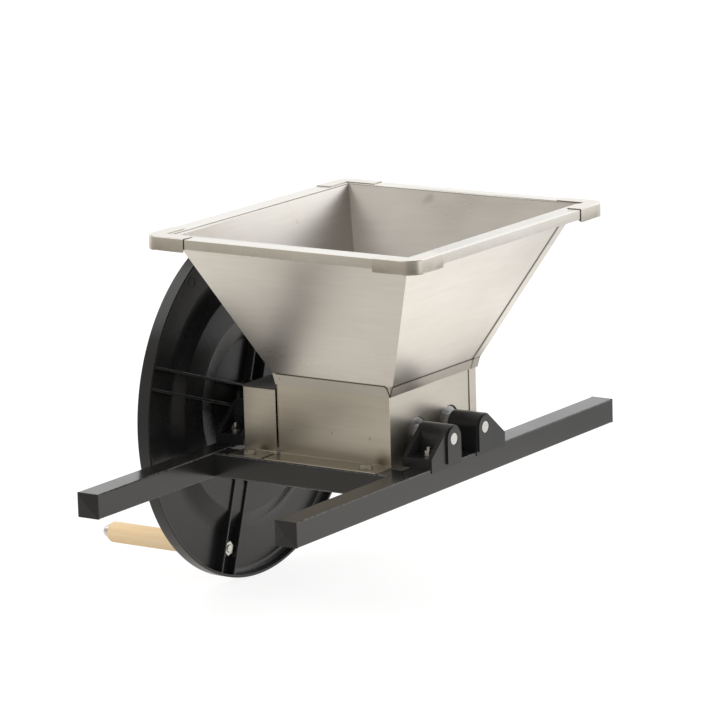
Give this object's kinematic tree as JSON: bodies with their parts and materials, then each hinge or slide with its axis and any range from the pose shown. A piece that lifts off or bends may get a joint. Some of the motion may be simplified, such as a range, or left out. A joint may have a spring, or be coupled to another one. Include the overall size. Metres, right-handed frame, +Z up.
{
  "type": "apple_scratter",
  "caption": "Hand-cranked fruit crusher: a square stainless hopper over two geared toothed rollers, on two black rails, with a dished flywheel and a wooden crank grip",
  "frame": {"origin": "Midway between the two rails, on the plane of their undersides, below the middle between the two roller shafts", "axes": "+X points away from the flywheel along the roller shafts; +Y points to the rear, along the rails; +Z up, out of the hopper's mouth"},
  "size_m": [0.6034, 0.7, 0.473],
  "materials": {
    "powder_black": "satin",
    "plastic_black": "satin",
    "stainless": "brushed",
    "zinc_steel": "satin",
    "cast_alloy": "satin",
    "pine": "satin"
  },
  "bodies": {
    "machine": {"left_rail": "powder_black", "right_rail": "powder_black", "rail_end_plugs": "plastic_black", "front_cross_tube": "powder_black", "rear_cross_tube": "powder_black", "front_right_block": "plastic_black", "rear_right_block": "plastic_black", "front_left_block": "plastic_black", "rear_left_block": "plastic_black", "block_bolts": "zinc_steel", "block_washers": "zinc_steel", "block_nuts": "zinc_steel", "box_front_right_sheet": "stainless", "box_rear_left_sheet": "stainless", "gear_guard": "stainless", "gear_cover_plate": "powder_black", "flange_bolts": "zinc_steel", "flange_washers": "zinc_steel", "hopper_front_right_sheet": "stainless", "hopper_rear_left_sheet": "stainless", "front_rim_rail": "stainless", "rear_rim_rail": "stainless", "left_rim_rail": "stainless", "right_rim_rail": "stainless", "rim_corner_caps": "stainless"},
    "rear_drive": {"rear_shaft": "zinc_steel", "rear_roller": "cast_alloy", "rear_roller_pins": "zinc_steel", "drive_gear": "cast_alloy", "drive_gear_pin": "zinc_steel", "rear_spacer_sleeve": "zinc_steel", "hub_spacer": "zinc_steel", "flywheel": "plastic_black", "flywheel_key": "zinc_steel", "hub_washer": "zinc_steel", "hub_nut": "zinc_steel", "crank_bolt": "zinc_steel", "crank_washers": "zinc_steel", "crank_nuts": "zinc_steel", "crank_dome_nut": "zinc_steel"},
    "front_drive": {"front_shaft": "zinc_steel", "front_roller": "cast_alloy", "front_roller_pins": "zinc_steel", "driven_gear": "cast_alloy", "driven_gear_pin": "zinc_steel", "front_spacer_sleeve": "zinc_steel"},
    "grip": {"wooden_grip": "pine"}
  },
  "joints": [
    {"name": "rear_roller_spin", "type": "hinge", "parent": "machine", "child": "rear_drive", "pos_m": [0, 0.0345, 0.058], "axis": [1, 0, 0], "continuous": true},
    {"name": "front_roller_spin", "type": "hinge", "parent": "machine", "child": "front_drive", "pos_m": [0, -0.0345, 0.058], "axis": [1, 0, 0], "continuous": true},
    {"name": "grip_spin", "type": "hinge", "parent": "rear_drive", "child": "grip", "pos_m": [-0.29, -0.0236, -0.1208], "axis": [1, 0, 0], "continuous": true}
  ],
  "couplings": [
    {"joint": "front_roller_spin", "follows": "rear_roller_spin", "ratio": -1}
  ]
}
